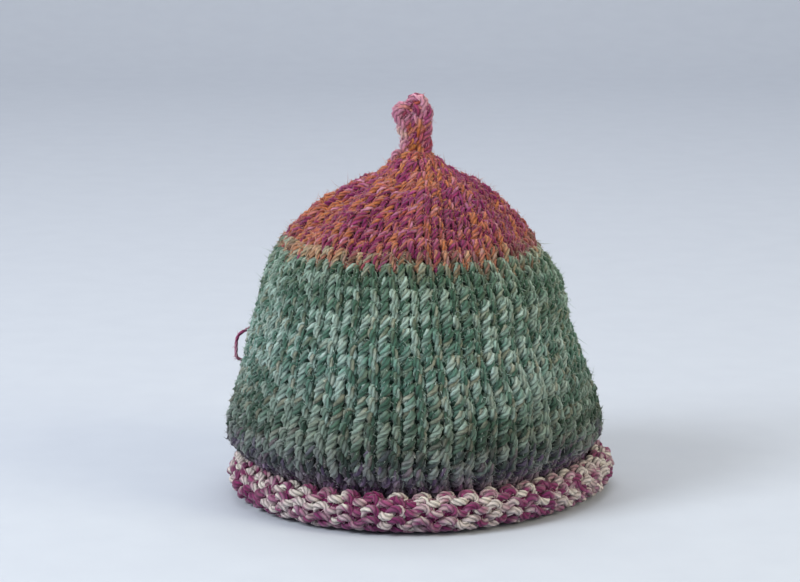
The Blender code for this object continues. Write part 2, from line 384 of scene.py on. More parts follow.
def seat_above(count, following):
    """Where the round above holds each stitch: eight of them share a stitch with their neighbour."""
    own = stitch_centres(count)
    if following == count:
        return own
    per_sector, per_next = count // SECTORS, following // SECTORS
    index = np.arange(count)
    sector, place = index // per_sector, index % per_sector
    place = np.minimum(place, per_next - 1)
    return stitch_centres(following)[sector * per_next + place]


# %% [markdown]
# Hand knitting is never even. Each stitch gets its own small error: how far it leans, how tall it is and how
# far it stands out. They come from a seeded generator, so that every run gives the same cosy. The hem curls
# freely and is more uneven. Columns also drift a little to each side as they climb, in slow waves.

# %% Laying a round of stitches on the cloth
SEED = 56
rng = np.random.default_rng(SEED)
YARN_THICK, YARN_THIN, HEM_YARN, YARN_SHARE = 2.3, 1.75, 1.95, 0.21
LEAN, TALL, PROUD, HEM_UNEVEN = 0.07, 0.07, 0.32, 1.7
FRONT_TO_BACK, LEG_PROUD = 0.88, 4.0


def knit_round(number, first, last, lips, samples):
    """Path, facing, thickness and course of one round, or of the part of it between two slits."""
    count = counts[number]
    following = counts[number + 1] if number + 1 < len(counts) else count
    width = WALES / count
    centres = stitch_centres(count)
    seats = seat_above(count, following)
    index = np.arange(first, last)
    t = np.tile(samples, len(index))
    stitch = np.repeat(index, len(samples))
    which = stitch % count
    lap = stitch // count * WALES
    uneven = HEM_UNEVEN if number < HEM_ROUNDS else 1.0
    lean = rng.normal(0, LEAN * uneven, count)
    tall = rng.normal(1, TALL * uneven, count)
    proud = rng.normal(0, PROUD * uneven, count)
    rise = (1 - np.cos(t)) / 2
    swing = np.interp(
        places[number], (HEM_CLOTH, HEM_CLOTH + 8, CROWN_CLOTH), (HEM_SWING, SWING_LOW, SWING_HIGH)
    )
    column = (
        centres[which]
        + lap
        + width * (t / (2 * np.pi) - 0.5)
        + swing * width * np.sin(2 * t)
        + (seats[which] - centres[which] + lean[which] * width) * rise**2
    )
    up = np.where(np.cos(t) < 0, pitch_up[number], pitch_down[number]) * tall[which]
    wander = 0.2 * np.sin(2 * np.pi * (column / 9.0 + number * 0.37))
    reach = REACH if number >= HEM_ROUNDS else HEM_REACH
    length = np.clip(places[number] - reach * up * np.cos(t) + wander, 0.3, CLOTH - 0.3)
    above_hem = np.clip(length / 40, 0, 1)
    column = column + 0.07 * np.sin(2 * np.pi * (length / 90 + column / 16)) * above_hem
    column = column + 0.04 * np.sin(2 * np.pi * (length / 38 - column / 8)) * above_hem
    lopsided = LOPSIDED * (1 + 0.6 * np.sin(2 * np.pi * (length / 120 - column / 24)))
    place, facing = cloth_and_facing(column, length, lips)
    wide = np.linalg.norm(
        on_cloth(column + 0.5, length, lips) - on_cloth(column - 0.5, length, lips), axis=1
    )
    thickest = YARN_THICK if number >= HEM_ROUNDS else HEM_YARN
    thick = np.clip(YARN_SHARE * wide * width, YARN_THIN, thickest)
    thick = thick * (1 + 0.05 * np.sin(2 * np.pi * (column / 5.3 + number * 0.77)) - lopsided * np.sin(t))
    depth = FRONT_TO_BACK * thick * stitch_depth(t) - lopsided * LEG_PROUD * np.sin(t)
    depth = depth + proud[which] * np.sin(t / 2)
    path = place + depth[:, None] * facing
    return path, facing, thick, number + ((column - BACK) % WALES) / WALES


PRESSED, LEAST_HEIGHT = 3.0, 0.25


def above_floor(points):
    """Wool that would sink into the table is pressed flat on it instead."""
    low = points[:, 2] < PRESSED
    left = PRESSED - LEAST_HEIGHT
    points[low, 2] = LEAST_HEIGHT + left * np.exp((points[low, 2] - PRESSED) / left)
    return points


def wool_run(path, facing, thick, course, closed, relief=1.0):
    """A finished run of yarn, and the yarn that it used up."""
    global yarn_used
    points, quads, uvs, courses, used = ply_tube(path, facing, thick, closed, yarn_used, course, relief)
    yarn_used += used
    strands.append((path[1:-1], facing[1:-1], thick[1:-1], course[1:-1], (path[2:] - path[:-2])))
    return above_floor(points), quads, uvs, courses, closed


yarn_used = 0.0
strands = []

# %% [markdown]
# Between the two slits the cosy is worked back and forth, not round. The yarn turns at each edge and climbs
# to the next row, which leaves a row of small bumps along the slit. One run of yarn makes all the rows of a
# panel. Column 0 lies on the spout's side and column 24 on the handle's. The first stitch of a round lies
# one column further on, so the stitch that starts at a slit has the number before its column.

# %% Where the slits part the rounds
BACK_LIPS = ((0, 1, SPOUT_SLIT), (HALF_ROUND, -1, HANDLE_SLIT))
FRONT_LIPS = ((HALF_ROUND, 1, HANDLE_SLIT), (WALES, -1, SPOUT_SLIT))
HANDLE_LIPS = ((HALF_ROUND, 1, HANDLE_SLIT), (HALF_ROUND + WALES, -1, HANDLE_SLIT))
SLIT_END = 2.5


def slits_open(number):
    height = float(section_at(np.array(places[number]))[1])
    return tuple(s["low"] + SLIT_END < height < s["high"] - SLIT_END for s in (SPOUT_SLIT, HANDLE_SLIT))


def stretches(number):
    """First and last stitch of each panel of a round, with the slits beside it. None where it is unbroken."""
    spout, handle = slits_open(number)
    if not handle:
        return None
    panels = [BACK_LIPS, FRONT_LIPS] if spout else [HANDLE_LIPS]
    return [(lips[0][0] - 1, lips[1][0] - 1, lips) for lips in panels]


# %% Rounds and panels
TURN_OUT, TURN_PROUD = 2.6, 3.0


def turn_at_edge(last, following, outward):
    """The yarn's climb from one row of a panel to the next, bulging past the edge."""
    q = np.linspace(0, 1, 7)[1:-1][:, None]
    between = last[0] * (1 - q) + following[0] * q
    facing = last[1] * (1 - q) + following[1] * q
    swing = np.sin(np.pi * q)
    path = between + swing * (outward * TURN_OUT + facing * TURN_PROUD)
    thick = last[2] * (1 - q[:, 0]) + following[2] * q[:, 0]
    course = last[3] * (1 - q[:, 0]) + following[3] * q[:, 0]
    return path, facing, thick, course


def panel(numbers, which, samples):
    """One run of yarn, worked back and forth over the rows of a panel."""
    parts = []
    for n, number in enumerate(numbers):
        first, last, lips = stretches(number)[which]
        row = [np.asarray(v) for v in knit_round(number, first, last, lips, samples)]
        if n % 2:
            row = [v[::-1] for v in row]
        if parts:
            previous = [v[-1] for v in parts[-1]]
            beside = parts[-1][0][-1] - parts[-1][0][-4]
            outward = beside / (np.linalg.norm(beside) + 1e-9)
            parts.append(turn_at_edge(previous, [v[0] for v in row], outward))
        parts.append(row)
    path, facing, thick, course = (np.concatenate([p[i] for p in parts]) for i in range(4))
    return wool_run(path, facing, thick, course, False)


def knit(numbers, samples):
    """The runs of yarn of several rounds, joined into panels where slits part them."""
    runs = []
    at = 0
    while at < len(numbers):
        opened = stretches(numbers[at])
        if opened is None:
            count = counts[numbers[at]]
            start = round(BACK * count / WALES)
            row = knit_round(numbers[at], start, start + count, (), samples)
            runs.append(wool_run(*row, True, 0.5 if numbers[at] < HEM_ROUNDS else 1.0))
            at += 1
            continue
        end = at
        while end < len(numbers) and stretches(numbers[end]) and len(stretches(numbers[end])) == len(opened):
            end += 1
        for which in range(len(opened)):
            runs.append(panel(numbers[at:end], which, samples))
        at = end
    return runs


slit_rounds = range(HEM_ROUNDS, CROWN_FROM)
print("open slits (spout, handle) by round:", [(n, *slits_open(n)) for n in slit_rounds])

# %% [markdown]
# ## The wool
# The real yarn is a marl: four plies, each dyed in its own run of shades, so the colour drifts from cream and
# magenta at the hem through plum and green to magenta and orange. An image texture would fix one pattern. A
# procedural one reads the course number, which every point of the mesh carries, and picks each ply's colour
# from its own ramp, between a pale and a deep shade. The tables give both by course, in display values.

# %% Colours of the four plies
COURSES = 40.0
PLY_DYES = {
    "first": (
        (0.0, (246, 238, 226), (206, 168, 180)),
        (6.6, (232, 218, 214), (178, 136, 160)),
        (8.6, (174, 152, 174), (130, 102, 136)),
        (10.4, (140, 152, 148), (90, 102, 98)),
        (12.8, (150, 172, 160), (98, 120, 106)),
        (18.0, (198, 220, 214), (144, 172, 162)),
        (25.5, (180, 204, 190), (118, 146, 128)),
        (26.3, (212, 190, 160), (150, 126, 102)),
        (27.0, (226, 154, 176), (170, 68, 118)),
        (32.0, (230, 158, 186), (166, 60, 124)),
        (36.0, (226, 150, 150), (178, 72, 120)),
        (37.0, (232, 158, 92), (196, 108, 64)),
        (38.0, (226, 156, 188), (186, 86, 138)),
        (40.0, (238, 206, 182), (206, 156, 140)),
    ),
    "second": (
        (0.0, (232, 216, 210), (180, 104, 140)),
        (6.6, (188, 146, 172), (126, 66, 112)),
        (8.6, (136, 108, 142), (92, 66, 100)),
        (10.4, (136, 120, 132), (84, 72, 86)),
        (12.8, (140, 142, 126), (90, 94, 80)),
        (18.0, (190, 190, 172), (136, 138, 116)),
        (25.5, (154, 166, 144), (98, 114, 92)),
        (26.3, (194, 164, 128), (132, 104, 78)),
        (27.0, (204, 128, 86), (170, 78, 70)),
        (32.0, (208, 126, 76), (172, 74, 66)),
        (36.0, (224, 140, 88), (188, 90, 76)),
        (37.0, (222, 136, 66), (184, 90, 50)),
        (38.0, (212, 126, 160), (166, 72, 120)),
        (40.0, (226, 178, 150), (190, 120, 112)),
    ),
    "third": (
        (0.0, (184, 96, 140), (124, 36, 86)),
        (6.6, (150, 66, 120), (96, 34, 84)),
        (8.6, (104, 76, 112), (64, 44, 72)),
        (10.4, (74, 88, 84), (44, 56, 52)),
        (12.8, (76, 104, 86), (42, 64, 52)),
        (18.0, (104, 144, 128), (62, 98, 82)),
        (25.5, (86, 122, 98), (50, 78, 60)),
        (26.3, (176, 126, 96), (126, 84, 66)),
        (27.0, (164, 60, 98), (112, 30, 72)),
        (32.0, (160, 52, 108), (106, 26, 76)),
        (36.0, (170, 62, 112), (118, 34, 82)),
        (37.0, (202, 108, 62), (146, 62, 56)),
        (38.0, (178, 74, 126), (130, 42, 90)),
        (40.0, (200, 130, 120), (150, 76, 92)),
    ),
    "fourth": (
        (0.0, (206, 152, 176), (146, 56, 104)),
        (6.6, (152, 96, 138), (96, 46, 96)),
        (8.6, (124, 98, 132), (76, 56, 88)),
        (10.4, (118, 100, 132), (72, 58, 86)),
        (12.8, (112, 136, 120), (66, 88, 74)),
        (18.0, (138, 180, 168), (86, 126, 112)),
        (25.5, (122, 152, 130), (72, 102, 82)),
        (26.3, (208, 156, 120), (156, 108, 86)),
        (27.0, (214, 128, 106), (162, 60, 92)),
        (32.0, (212, 118, 98), (158, 50, 100)),
        (36.0, (208, 114, 110), (156, 52, 102)),
        (37.0, (216, 130, 90), (168, 76, 70)),
        (38.0, (218, 138, 170), (162, 66, 116)),
        (40.0, (218, 160, 144), (176, 98, 104)),
    ),
}
STRETCH_DYES = (
    (0.0, (240, 230, 220), (140, 44, 98)),
    (6.6, (206, 184, 192), (110, 44, 96)),
    (8.6, (168, 146, 164), (82, 58, 90)),
    (10.4, (144, 150, 148), (56, 64, 66)),
    (12.8, (146, 162, 148), (52, 74, 60)),
    (18.0, (184, 206, 198), (76, 114, 98)),
    (25.5, (166, 188, 172), (62, 94, 72)),
    (26.3, (208, 174, 138), (132, 84, 74)),
    (27.0, (206, 126, 82), (140, 38, 96)),
    (32.0, (202, 116, 70), (136, 32, 98)),
    (36.0, (222, 140, 92), (160, 52, 116)),
    (37.0, (224, 142, 70), (190, 84, 66)),
    (38.0, (222, 150, 180), (164, 60, 116)),
    (40.0, (236, 202, 178), (196, 120, 128)),
)


def dyed(*display):
    """A colour picked in display values, as the linear values that a shader wants."""
    linear = [((v / 255 + 0.055) / 1.055) ** 2.4 if v > 10 else v / 255 / 12.92 for v in display]
    return linear + [1.0]


def stops(dyes, shade, painted_shade_dim=1.0):
    """A ramp's stops from a table of dyes: shade 1 is the pale one and 2 the deep one. A third value below 1
    darkens every stop, as painted shade.
    """
    return [(row[0] / COURSES, dyed(*(v * painted_shade_dim for v in row[shade]))) for row in dyes]


print("plies:", ", ".join(PLY_DYES))

# %% Small helpers for building a wool's nodes


class Wool:
    """A material with short ways to add and join its nodes."""

    def __init__(self, name, roughness, sheen):
        self.material = bpy.data.materials.new(name)
        self.material.use_nodes = True
        self.nodes = self.material.node_tree.nodes
        self.links = self.material.node_tree.links
        self.shader = self.nodes["Principled BSDF"]
        self.shader.inputs["Roughness"].default_value = roughness
        self.shader.inputs["Sheen Weight"].default_value = sheen
        self.shader.inputs["Sheen Roughness"].default_value = 0.45
        self.shader.inputs["Specular IOR Level"].default_value = 0.25

    def join(self, source, target):
        if isinstance(source, (int, float, list, tuple)):
            target.default_value = source
        else:
            self.links.new(source, target)

    def math(self, kind, *values, clamp=False):
        node = self.nodes.new("ShaderNodeMath")
        node.operation = kind
        node.use_clamp = clamp
        for value, socket in zip(values, node.inputs):
            self.join(value, socket)
        return node.outputs[0]

    def spread(self, value, low, high, to_low=0.0, to_high=1.0):
        node = self.nodes.new("ShaderNodeMapRange")
        for v, name in ((value, "Value"), (low, "From Min"), (high, "From Max")):
            self.join(v, node.inputs[name])
        self.join(to_low, node.inputs["To Min"])
        self.join(to_high, node.inputs["To Max"])
        return node.outputs[0]

    def noise(self, where, scale, detail=2.0, dimensions="3D", rough=0.5):
        node = self.nodes.new("ShaderNodeTexNoise")
        node.noise_dimensions = dimensions
        self.join(where, node.inputs["W" if dimensions == "1D" else "Vector"])
        node.inputs["Scale"].default_value = scale
        node.inputs["Detail"].default_value = detail
        node.inputs["Roughness"].default_value = rough
        return node.outputs["Fac"]

    def mix(self, share, first, second, kind="MIX"):
        node = self.nodes.new("ShaderNodeMix")
        node.data_type = "RGBA"
        node.blend_type = kind
        for place, value in ((0, share), (6, first), (7, second)):
            self.join(value, node.inputs[place])
        return node.outputs[2]

    def ramp(self, value, stops):
        node = self.nodes.new("ShaderNodeValToRGB")
        band = node.color_ramp
        while len(band.elements) > 1:
            band.elements.remove(band.elements[-1])
        band.elements[0].position, band.elements[0].color = stops[0][0], stops[0][1]
        for place, colour in stops[1:]:
            band.elements.new(place).color = colour
        self.join(value, node.inputs[0])
        return node.outputs["Color"]

    def moved_by(self, noise, share, base):
        """base, moved up or down as the noise lies above or below its middle."""
        return self.math("MULTIPLY_ADD", self.math("SUBTRACT", noise, 0.5), share, base)

    def course(self):
        node = self.nodes.new("ShaderNodeAttribute")
        node.attribute_name = "course"
        return node.outputs["Fac"]

    def roughen(self, height, strength, distance):
        bump = self.nodes.new("ShaderNodeBump")
        bump.inputs["Strength"].default_value = strength
        bump.inputs["Distance"].default_value = distance
        self.join(height, bump.inputs["Height"])
        self.join(bump.outputs[0], self.shader.inputs["Normal"])


# %% [markdown]
# The plies change shade at their own places along the yarn, and their dye also runs a little ahead of the
# course or behind it, so the colours of two rounds mingle. A ply's number keeps its noise apart from the
# others'.

# %% The shades of each ply
PLY_APART, DRIFT_RATE, DRIFT_COURSES = 977.0, 0.02, 2.8
MOTTLE_RATE, MOTTLE_SHIFT = 0.062, 0.42


def ply_colour(wool, along, course, ply):
    """The colour of the ply at a place along the yarn, and the stage of the dyes there."""
    ply_line = wool.math("MULTIPLY_ADD", ply, PLY_APART, along)
    drift = wool.noise(wool.math("MULTIPLY", ply_line, DRIFT_RATE), 1.0, 1.0, "1D")
    stage = wool.math("DIVIDE", wool.moved_by(drift, DRIFT_COURSES, course), COURSES)
    shade_line = wool.math("MULTIPLY_ADD", along, MOTTLE_RATE, wool.math("MULTIPLY", ply, MOTTLE_SHIFT))
    mottle = wool.noise(shade_line, 1.0, 2.0, "1D", 0.62)
    pale = wool.spread(mottle, 0.38, 0.62)
    colours = []
    for dyes in PLY_DYES.values():
        light = wool.ramp(stage, stops(dyes, 1))
        deep = wool.ramp(stage, stops(dyes, 2))
        colours.append(wool.mix(pale, deep, light))
    colour = colours[0]
    for number, following in enumerate(colours[1:]):
        colour = wool.mix(wool.math("GREATER_THAN", ply, number + 0.5), colour, following)
    return colour, stage


# %% [markdown]
# The plies also share some changes. Stretches about as long as a stitch go pale or deep as a whole, a slow
# drift makes one round lighter than the next, and soft patches run across the rounds. The crown's stretches
# lean a little towards the deep shade. Fibres that stand off the yarn catch more light, so they get their
# own copy of the wool, lifted towards the pale shade.

# %% Stretches and patches
STRETCH_RATE, SLOW_RATE, SLOW_SHARE = 0.05, 0.0045, 0.35
PATCH_SCALE, PATCH_SHARE, CROWN_SHIFT = 30.0, 0.55, -0.05


def shared_shades(wool, colour, along, course, stage, lift):
    """The ply's colour, with the changes that all plies share."""
    stretch = wool.noise(wool.math("MULTIPLY", along, STRETCH_RATE), 1.0, 1.0, "1D")
    slow = wool.noise(wool.math("MULTIPLY", along, SLOW_RATE), 1.0, 1.0, "1D")
    stretch = wool.moved_by(slow, SLOW_SHARE, stretch)
    patch = wool.noise(wool.nodes.new("ShaderNodeTexCoord").outputs["Object"], PATCH_SCALE, 1.0)
    stretch = wool.moved_by(patch, PATCH_SHARE, stretch)
    in_crown = wool.math("MULTIPLY", wool.spread(course, 26.5, 28.0), wool.spread(course, 38.0, 36.5))
    stretch = wool.math("MULTIPLY_ADD", in_crown, CROWN_SHIFT, stretch)
    low_share = wool.spread(course, 6.0, 10.0, 0.92, 0.72)
    high_share = wool.spread(course, 26.0, 28.0, 0.72, 0.85)
    share = wool.math("MAXIMUM", low_share, high_share)
    pale_stretch = wool.ramp(stage, stops(STRETCH_DYES, 1))
    deep_stretch = wool.ramp(stage, stops(STRETCH_DYES, 2))
    colour = wool.mix(wool.spread(stretch, 0.51, 0.64, 0.0, share), colour, pale_stretch)
    colour = wool.mix(wool.spread(stretch, 0.50, 0.37, 0.0, share), colour, deep_stretch)
    return wool.mix(lift, colour, pale_stretch) if lift else colour


# %% [markdown]
# Last come single fibres' fine streaks along each ply, painted shade between two plies and a painted
# highlight on each crest.

# %% The plied wool
STREAKS_ROUND, STREAKS_ALONG = 26.0, 0.35
STREAK_SHADE = [0.50, 0.53, 0.53, 1]
# Painted light: the first factor is painted shade in the groove between plies, the second a painted highlight
# on each crest.
PAINTED_GAP_SHADE, PAINTED_CREST_HIGHLIGHT = 0.46, 1.13


def plied_wool(name, sheen, lift):
    """The marled yarn. lift brings the colour nearer to the pale dye, for fibres that catch the light."""
    wool = Wool(name, roughness=0.9, sheen=sheen)
    uv = wool.nodes.new("ShaderNodeUVMap")
    uv.uv_map = "yarn"
    parts = wool.nodes.new("ShaderNodeSeparateXYZ")
    wool.join(uv.outputs[0], parts.inputs[0])
    round_it, along = parts.outputs[0], parts.outputs[1]
    course = wool.course()
    plies = wool.math("MULTIPLY", round_it, float(PLIES))
    ply = wool.math("FLOOR", wool.math("MINIMUM", plies, PLIES - 0.001))
    crest = wool.math("SINE", wool.math("MULTIPLY", wool.math("FRACT", plies), math.pi))
    colour, stage = ply_colour(wool, along, course, ply)
    colour = shared_shades(wool, colour, along, course, stage, lift)
    streak_place = wool.nodes.new("ShaderNodeCombineXYZ")
    wool.join(wool.math("MULTIPLY", round_it, STREAKS_ROUND), streak_place.inputs[0])
    wool.join(wool.math("MULTIPLY", along, STREAKS_ALONG), streak_place.inputs[1])
    streak = wool.noise(streak_place.outputs[0], 1.0, 4.0, "3D", 0.65)
    streaked = wool.mix(1.0, colour, STREAK_SHADE, "MULTIPLY")
    colour = wool.mix(wool.spread(streak, 0.36, 0.64), streaked, colour)
    # Painted light: the colour is darkened in the groove between plies as painted shade and brightened on
    # each crest as a painted highlight.
    painted_ply_light = wool.spread(crest, 0.0, 1.0, PAINTED_GAP_SHADE, PAINTED_CREST_HIGHLIGHT)
    shade = wool.nodes.new("ShaderNodeCombineXYZ")
    for socket in shade.inputs:
        wool.join(painted_ply_light, socket)
    colour = wool.mix(1.0, colour, shade.outputs[0], "MULTIPLY")
    wool.join(colour, wool.shader.inputs["Base Color"])
    wool.roughen(wool.math("MULTIPLY_ADD", streak, 0.55, wool.math("POWER", crest, 0.7)), 0.6, 0.0009)
    return wool.material


plied = plied_wool("plied_wool", sheen=0.2, lift=0.0)
loose_wool = plied_wool("loose_wool", sheen=0.35, lift=0.45)
print("nodes in the plied wool:", len(plied.node_tree.nodes))

# %% [markdown]
# ## Knitting the cosy
# The rounds are made in pieces of a size that Blender handles well: the rolled hem, three bands of wall and
# the crown. They are one yarn, and the bands only meet where one round ends and the next begins.

# %% The knitted pieces
MIDDLE_FROM, HIGH_FROM = 14, 21
low_rounds, middle_rounds = range(HEM_ROUNDS, MIDDLE_FROM), range(MIDDLE_FROM, HIGH_FROM)
high_rounds, crown_rounds = range(HIGH_FROM, CROWN_FROM), range(CROWN_FROM, len(counts))
hem_knit = knit_piece("hem_knit", knit(range(HEM_ROUNDS), HEAD_SAMPLES), plied)
wall_low = knit_piece("wall_knit_low", knit(low_rounds, LEG_SAMPLES), plied)
wall_middle = knit_piece("wall_knit_middle", knit(middle_rounds, LEG_SAMPLES), plied)
wall_high = knit_piece("wall_knit_high", knit(high_rounds, LEG_SAMPLES), plied)
crown_knit = knit_piece("crown_knit", knit(crown_rounds, LEG_SAMPLES), plied)
print(f"yarn used so far: {yarn_used / 1000:.1f} m")

# %% [markdown]
# ## The cloth behind the stitches
# Between the loops of real knitting one sees more wool, in shadow. A thin sheet in the middle of the fabric
# stands for that fluff. It follows the same map, so it has the same slits.

# %% The backing of fluff
backing_lengths = np.concatenate(
    [np.linspace(0.6, HEM_CLOTH, 14), np.linspace(HEM_CLOTH, CLOTH - 0.4, 62)[1:]]
)
FLUFF = 0.9


def backing_half(first, lips):
    columns = first + np.arange(WALES + 1) / 2
    grid_column, grid_length = np.meshgrid(columns, backing_lengths, indexing="ij")
    return cloth_and_facing(grid_column, grid_length, lips)[0]


points, quads, courses = [], [], []
for half in (backing_half(0, BACK_LIPS), backing_half(HALF_ROUND, FRONT_LIPS)):
    across, along = half.shape[:2]
    start = sum(len(p) for p in points)
    points.append(half.reshape(-1, 3))
    i, j = np.meshgrid(np.arange(across - 1), np.arange(along - 1), indexing="ij")
    corner = start + i * along + j
    quads.append(np.stack([corner, corner + along, corner + along + 1, corner + 1], -1).reshape(-1, 4))
    courses.append(np.tile(np.interp(backing_lengths, places, np.arange(len(places))), across))
mesh = bpy.data.meshes.new("cosy_backing")
mesh.from_pydata((np.concatenate(points) * MM).tolist(), [], np.concatenate(quads).tolist())
mesh.attributes.new("course", "FLOAT", "POINT").data.foreach_set(
    "value", np.concatenate(courses).astype(np.float32)
)
backing = bpy.data.objects.new("cosy_backing", mesh)
bpy.context.scene.collection.objects.link(backing)
for kind, settings in (
    ("WELD", {"merge_threshold": 0.00002}),
    ("SOLIDIFY", {"thickness": FLUFF * MM, "offset": 0.0}),
):
    modifier = backing.modifiers.new(kind.lower(), kind)
    for setting, value in settings.items():
        setattr(modifier, setting, value)
settled = bpy.data.meshes.new_from_object(backing.evaluated_get(bpy.context.evaluated_depsgraph_get()))
backing.modifiers.clear()
backing.data = settled
settled.name = "cosy_backing"
for face in settled.polygons:
    face.use_smooth = True

# %% The finish of the fluff, dimmed as painted shade


def fluff_in_painted_shade(name):
    wool = Wool(name, roughness=0.95, sheen=0.1)
    patch = wool.noise(wool.nodes.new("ShaderNodeTexCoord").outputs["Object"], 260.0, 3.0)
    stage = wool.math("DIVIDE", wool.course(), COURSES)
    # The third ply's deep shade, dimmed further: painted shade for the shadow between the stitches.
    deep = wool.ramp(stage, stops(PLY_DYES["third"], 2, 0.55))
    light = wool.ramp(stage, stops(PLY_DYES["third"], 2, 0.95))
    colour = wool.mix(wool.spread(patch, 0.35, 0.65), deep, light)
    wool.join(colour, wool.shader.inputs["Base Color"])
    wool.roughen(patch, 0.5, 0.0006)
    return wool.material


backing.data.materials.append(fluff_in_painted_shade("fluff_in_painted_shade"))
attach(backing, "root")
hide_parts("cosy")

# %% [markdown]
# ## The loop on top
# The loop is a narrow knitted cord, folded over and sewn down, so one column of V stitches shows on each
# side. The same stitch is laid on a thin tube instead of on the cloth: two stitches go round it.

# %% The cord of the loop
LOOP = np.array(
    [
        (4.0, 166.0, 0.0, 4.6),
        (3.9, 172.0, 0.0, 4.0),
        (3.8, 180.0, 0.2, 4.2),
        (3.3, 187.2, 0.4, 5.1),
        (0.9, 192.3, 0.3, 5.2),
        (-2.8, 189.4, -0.2, 3.5),
        (-5.9, 188.9, -0.4, 4.7),
        (-4.9, 181.4, -0.3, 4.4),
        (-3.4, 175.0, 0.0, 3.9),
        (-3.4, 166.0, 0.0, 4.6),
    ]
)
LOOP_ASIDE = 2.8
loop_knots = np.concatenate([[0], np.cumsum(np.linalg.norm(np.diff(LOOP[:, :3], axis=0), axis=1))])
LOOP_LONG = loop_knots[-1]
loop_row = smooth_curve(loop_knots, LOOP)


def loop_line(length):
    """The middle of the cord at a length from its right foot, and its radius there."""
    aside, height, depth, radius = np.moveaxis(loop_row(length), -1, 0)
    centre = [aside - LOOP_ASIDE + OVER_ORIGIN[0], OVER_ORIGIN[1] - depth, height]
    return np.stack(centre, -1), radius


def on_loop(column, length, inset):
    """The tube of the cord: column 0 faces the front, and two stitches go round."""
    centre, radius = loop_line(length)
    ahead = loop_line(length + 0.2)[0] - loop_line(length - 0.2)[0]
    ahead /= np.linalg.norm(ahead, axis=-1, keepdims=True)
    front = np.array([0.0, -1.0, 0.0])
    front = front - (ahead @ front)[..., None] * ahead
    front /= np.linalg.norm(front, axis=-1, keepdims=True)
    side = np.cross(ahead, front)
    angle = np.pi * column
    facing = np.cos(angle)[..., None] * front + np.sin(angle)[..., None] * side
    return centre + (radius - inset)[..., None] * facing, facing


# %% The inside of the loop
LOOP_COURSE = 38.0
CORE_INSET = 1.8
FOLD_FOOT, FOLD_TOP, FOLD_YARN = np.array([[-3.0, 1.4, 172.0]]), np.array([[-4.2, 1.6, 188.5]]), 2.5
core_length = np.linspace(0.3, LOOP_LONG - 0.3, 60)
core_place, core_radius = loop_line(core_length)
core_facing = on_loop(core_length * 0, core_length, 0.0)[1]
core_course = np.full(len(core_length), LOOP_COURSE)
fold_share = np.linspace(0, 1, 16)[:, None]
fold_place = FOLD_FOOT * (1 - fold_share) + FOLD_TOP * fold_share
fold_facing = np.tile([[0.0, -1.0, 0.0]], (16, 1))
loop_runs = [
    wool_run(core_place, core_facing, core_radius - CORE_INSET, core_course, False),
    wool_run(fold_place, fold_facing, np.full(16, FOLD_YARN), np.full(16, LOOP_COURSE), False),
]
print(f"cord of the loop: {LOOP_LONG:.1f} mm")

# %% The stitches of the loop
LOOP_ROUNDS, LOOP_YARN, LOOP_INSET, LOOP_DEPTH = 8, 2.2, 2.4, 0.38
LOOP_SAMPLES = stitch_samples(44, 0.1)
loop_pitch = LOOP_LONG / LOOP_ROUNDS
for number in range(LOOP_ROUNDS):
    t = np.tile(LOOP_SAMPLES, 2)
    which = np.repeat(np.arange(2), len(LOOP_SAMPLES))
    lean = rng.normal(0, 0.03, 2)
    column = which - 0.5 + t / (2 * np.pi) + 0.21 * np.sin(2 * t) + lean[which] * (1 - np.cos(t)) / 2
    middle = (number + 0.5) * loop_pitch
    way = 1 if number < LOOP_ROUNDS / 2 else -1
    length = np.clip(middle - way * REACH * loop_pitch * np.cos(t), 0.2, LOOP_LONG - 0.2)
    place, facing = on_loop(column, length, LOOP_INSET)
    path = place + (LOOP_DEPTH * LOOP_YARN * stitch_depth(t))[:, None] * facing
    orange = np.exp(-(((path[:, 0] + 3.2) / 4.2) ** 2)) * np.clip((187 - path[:, 2]) / 6, 0, 1)
    cream = np.exp(-(((path[:, 0] + 8.6) / 2.6) ** 2) - ((path[:, 2] - 177.0) / 4.0) ** 2)
    course = LOOP_COURSE - 1.2 * orange + 1.8 * cream
    loop_runs.append(wool_run(path, facing, np.full(len(t), LOOP_YARN), course, True))
loop_knit = knit_piece("loop_knit", loop_runs, plied)
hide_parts("top_loop")

# %% [markdown]
# ## Loose ends
# The knitter's tail ends show in two places: a small curl beside the foot of the loop, and a loop of magenta
# yarn on the far lip of the handle slit, where the edge was caught down. A few points with a smooth curve
# through them are enough for these.

# %% Two loose loops of yarn
CURL_POINTS = (
    (-7.0, 1.0, 162.6),
    (-11.6, -1.0, 163.2),
    (-13.4, -1.6, 166.4),
    (-11.6, -1.6, 168.8),
    (-8.6, 0.4, 167.2),
)
LIP_POINTS = (
    (-82.0, 14.5, 62.0),
    (-90.2, 12.5, 64.0),
    (-91.2, 12.0, 69.0),
    (-89.8, 12.0, 76.0),
    (-82.0, 14.5, 80.0),
)


def loose_yarn(points, thick, course, outward):
    """A run of yarn on a smooth curve through a few points."""
    steps = np.arange(len(points), dtype=float)
    path = smooth_curve(steps, np.array(points))(np.linspace(0, steps[-1], 26))
    facing = np.tile(np.array(outward, float), (len(path), 1))
    return wool_run(path, facing, np.full(len(path), thick), np.full(len(path), course), False)


curl_run = loose_yarn(CURL_POINTS, 1.5, 38.2, (0, -1, 0))
lip_run = loose_yarn(LIP_POINTS, 0.85, 38.0, (-1, 0, 0))
loose_ends = knit_piece("loose_ends", [curl_run, lip_run], plied)

# %% [markdown]
# ## Fluff that stands off the yarn
# Wool is never smooth: fine fibres stand off every strand and blur its edge. A hair system could grow them,
# but it is not a mesh. A fibre can be as little as a closed spike with three sides, four triangles in all, so
# tens of thousands of them stay cheap. The longer ones get one bend. Each starts at a random place on the
# strands, leaves the surface at a low angle and lies over its neighbours.

# The pool of the loop also takes in the last round of the crown, which the loop stands on.

# %% Fibres
YARN_PLACES = 3000


